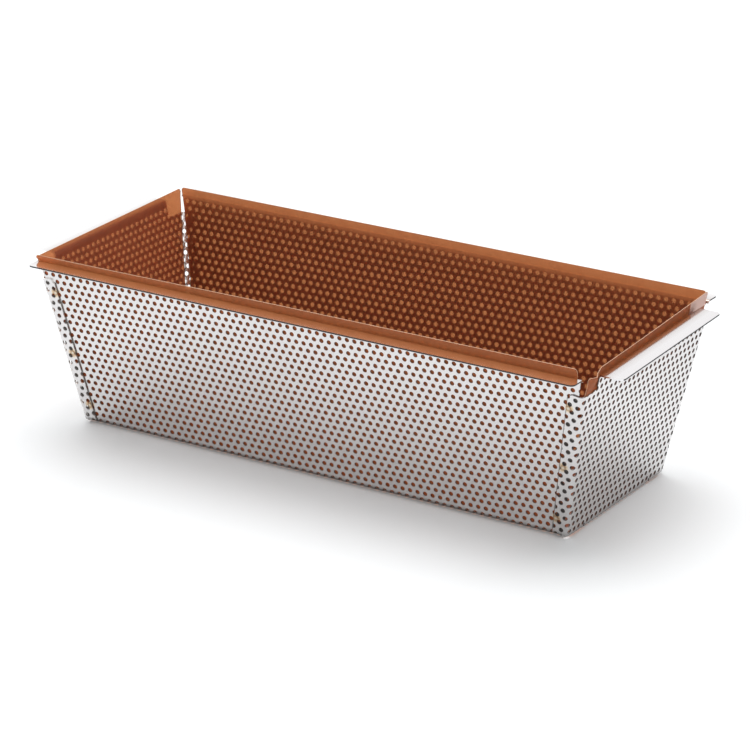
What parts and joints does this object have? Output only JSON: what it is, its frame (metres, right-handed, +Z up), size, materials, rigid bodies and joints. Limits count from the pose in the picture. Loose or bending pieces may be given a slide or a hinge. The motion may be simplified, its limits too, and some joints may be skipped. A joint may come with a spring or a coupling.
{
  "type": "perforated baking tin",
  "caption": "Long flared loaf tin folded from perforated steel sheet, with flat rims, spot-welded corner flaps and a loose folded non-stick cloth liner.",
  "frame": {"origin": "centre of the tin's footprint, on the surface that it stands on", "axes": "+X along the tin's length, +Y across it, +Z up out of its mouth"},
  "size_m": [0.279, 0.1186, 0.0766],
  "materials": {
    "steel": "bright perforated stainless sheet",
    "weld": "spot weld with a straw-coloured heat tint",
    "liner": "brown coated glass cloth with a fine weave, slightly translucent"
  },
  "bodies": {
    "tin": {"trough_base": "steel", "trough_front_wall": "steel", "trough_back_wall": "steel", "trough_front_fold": "steel", "trough_back_fold": "steel", "trough_front_rim": "steel", "trough_back_rim": "steel", "left_end_wall": "steel", "left_end_rim": "steel", "left_end_tab": "steel", "left_end_front_flap": "steel", "left_end_back_flap": "steel", "right_end_wall": "steel", "right_end_rim": "steel", "right_end_tab": "steel", "right_end_front_flap": "steel", "right_end_back_flap": "steel", "front_left_spot_welds": "weld", "back_left_spot_welds": "weld", "front_right_spot_welds": "weld", "back_right_spot_welds": "weld"},
    "liner": {"liner_base": "liner", "liner_front_panel": "liner", "liner_back_panel": "liner", "liner_left_panel": "liner", "liner_right_panel": "liner"}
  },
  "joints": [
    {"name": "liner_lift", "type": "slide", "parent": "tin", "child": "liner", "axis": [0, 0, 1], "range_m": [0, 0.1]}
  ]
}
